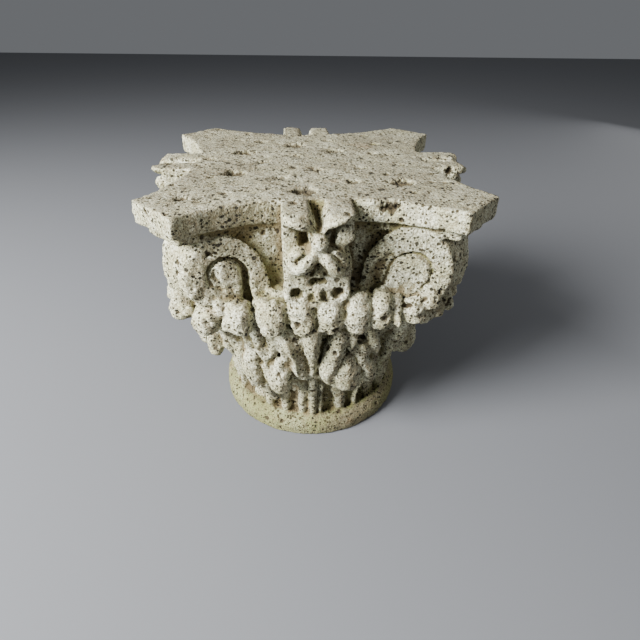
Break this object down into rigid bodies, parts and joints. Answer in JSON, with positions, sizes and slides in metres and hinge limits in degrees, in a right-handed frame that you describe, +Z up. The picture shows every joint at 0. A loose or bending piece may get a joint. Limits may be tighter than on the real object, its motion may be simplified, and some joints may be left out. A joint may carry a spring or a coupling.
{
  "type": "corinthian capital",
  "caption": "Carved stone Corinthian capital: hollow-sided abacus with blunt horns, fleurons, paired volutes and rows of drooping leaves on a bell with a round base ring.",
  "frame": {"origin": "centre of the flat underside of the base ring, on the ground", "axes": "+Z up the axis of the bell to the flat bed of the abacus, X and Y square to the middles of its hollow sides; the front fleuron faces -Y"},
  "size_m": [0.488, 0.488, 0.437],
  "materials": {
    "stone": "coarse cream porous stone, unpolished, with dark pores and yellow-green moss stains in the hollows"
  },
  "bodies": {
    "root": {"capital": "stone"}
  },
  "joints": []
}
